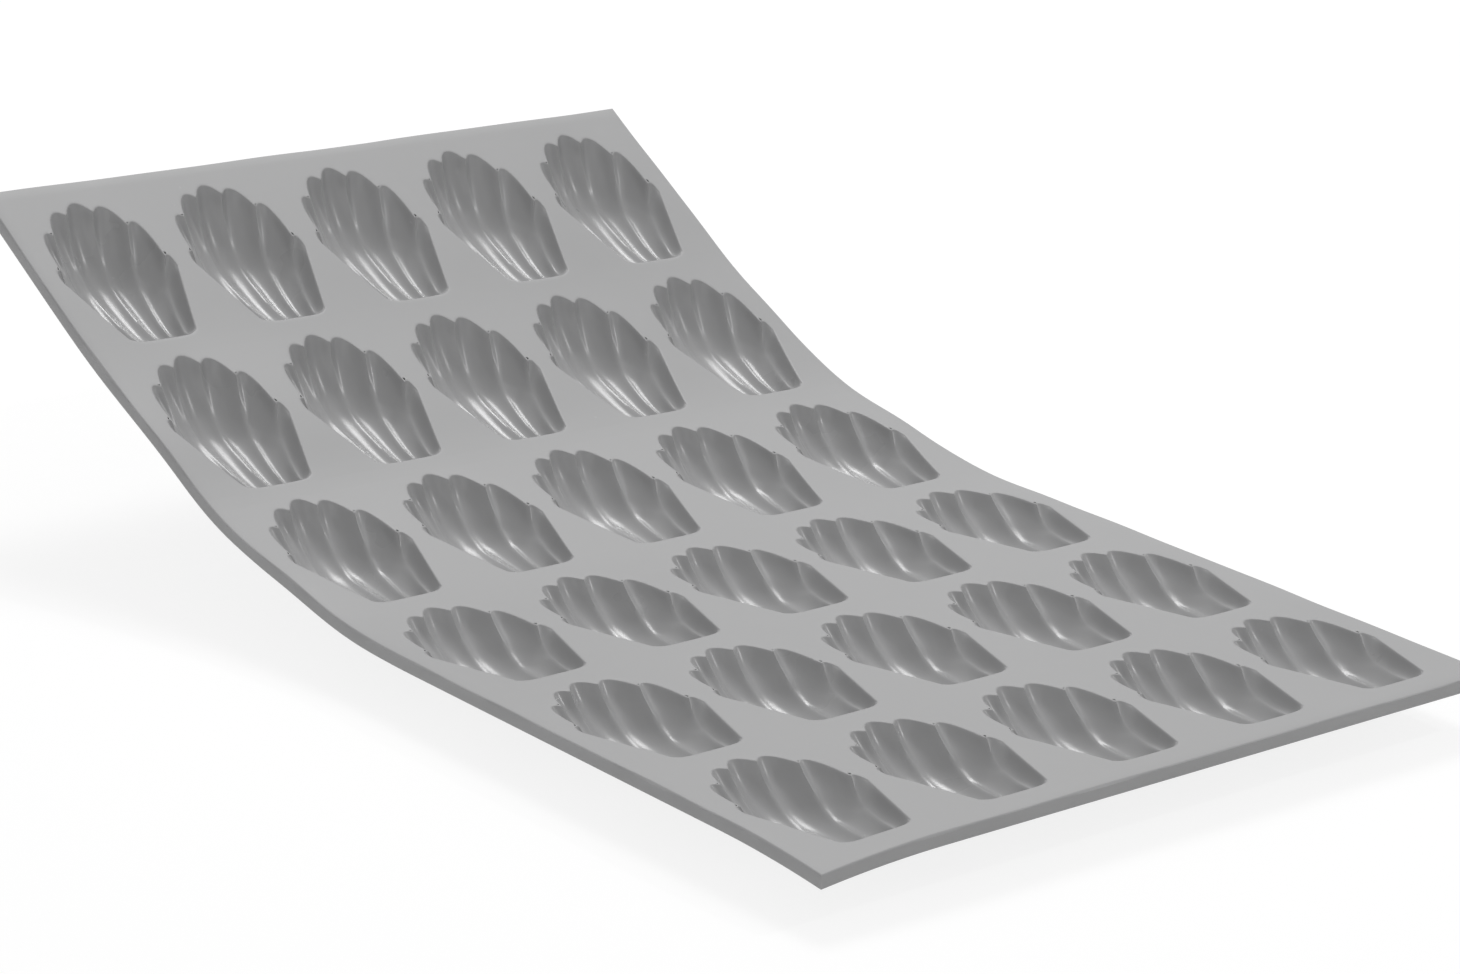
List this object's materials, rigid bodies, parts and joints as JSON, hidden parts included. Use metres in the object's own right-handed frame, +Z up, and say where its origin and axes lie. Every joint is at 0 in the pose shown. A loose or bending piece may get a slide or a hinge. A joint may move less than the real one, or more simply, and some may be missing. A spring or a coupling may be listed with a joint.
{
  "type": "flexible baking mould for shell cakes",
  "caption": "Flexible silicone baking mould for small shell-shaped cakes: a thin bent sheet with rows of fluted cups, which flexes along the webs between its rows.",
  "frame": {"origin": "on the table under the middle of the whole mould as it stands bent", "axes": "+X across the mould, +Y from the near end towards the raised end, +Z up from the table"},
  "size_m": [0.176, 0.288, 0.0682],
  "materials": {
    "silicone": "satin"
  },
  "bodies": {
    "row_6": {"cup_row_6": "silicone", "flex_web_5_6": "silicone"},
    "row_5": {"cup_row_5": "silicone", "flex_web_4_5": "silicone"},
    "row_4": {"cup_row_4": "silicone", "flex_web_3_4": "silicone"},
    "row_3": {"cup_row_3": "silicone", "flex_web_2_3": "silicone"},
    "row_2": {"cup_row_2": "silicone", "flex_web_1_2": "silicone"},
    "row_1": {"cup_row_1": "silicone"}
  },
  "joints": [
    {"name": "bend_5_6", "type": "hinge", "parent": "row_6", "child": "row_5", "pos_m": [0, -0.09157, 0.0104], "axis": [1, 0, 0], "range_deg": [-30, 45], "deforming": ["flex_web_5_6"]},
    {"name": "bend_4_5", "type": "hinge", "parent": "row_5", "child": "row_4", "pos_m": [0, -0.04277, 0.0104], "axis": [1, 0, 0], "range_deg": [-30, 45], "deforming": ["flex_web_4_5"]},
    {"name": "bend_3_4", "type": "hinge", "parent": "row_4", "child": "row_3", "pos_m": [0, 0.00604, 0.0104], "axis": [1, 0, 0], "range_deg": [-40.5, 34.5], "deforming": ["flex_web_3_4"]},
    {"name": "bend_2_3", "type": "hinge", "parent": "row_3", "child": "row_2", "pos_m": [0, 0.05404, 0.0193], "axis": [1, 0, 0], "range_deg": [-44.5, 30.5], "deforming": ["flex_web_2_3"]},
    {"name": "bend_1_2", "type": "hinge", "parent": "row_2", "child": "row_1", "pos_m": [0, 0.09828, 0.03993], "axis": [1, 0, 0], "range_deg": [-36, 39], "deforming": ["flex_web_1_2"]}
  ]
}
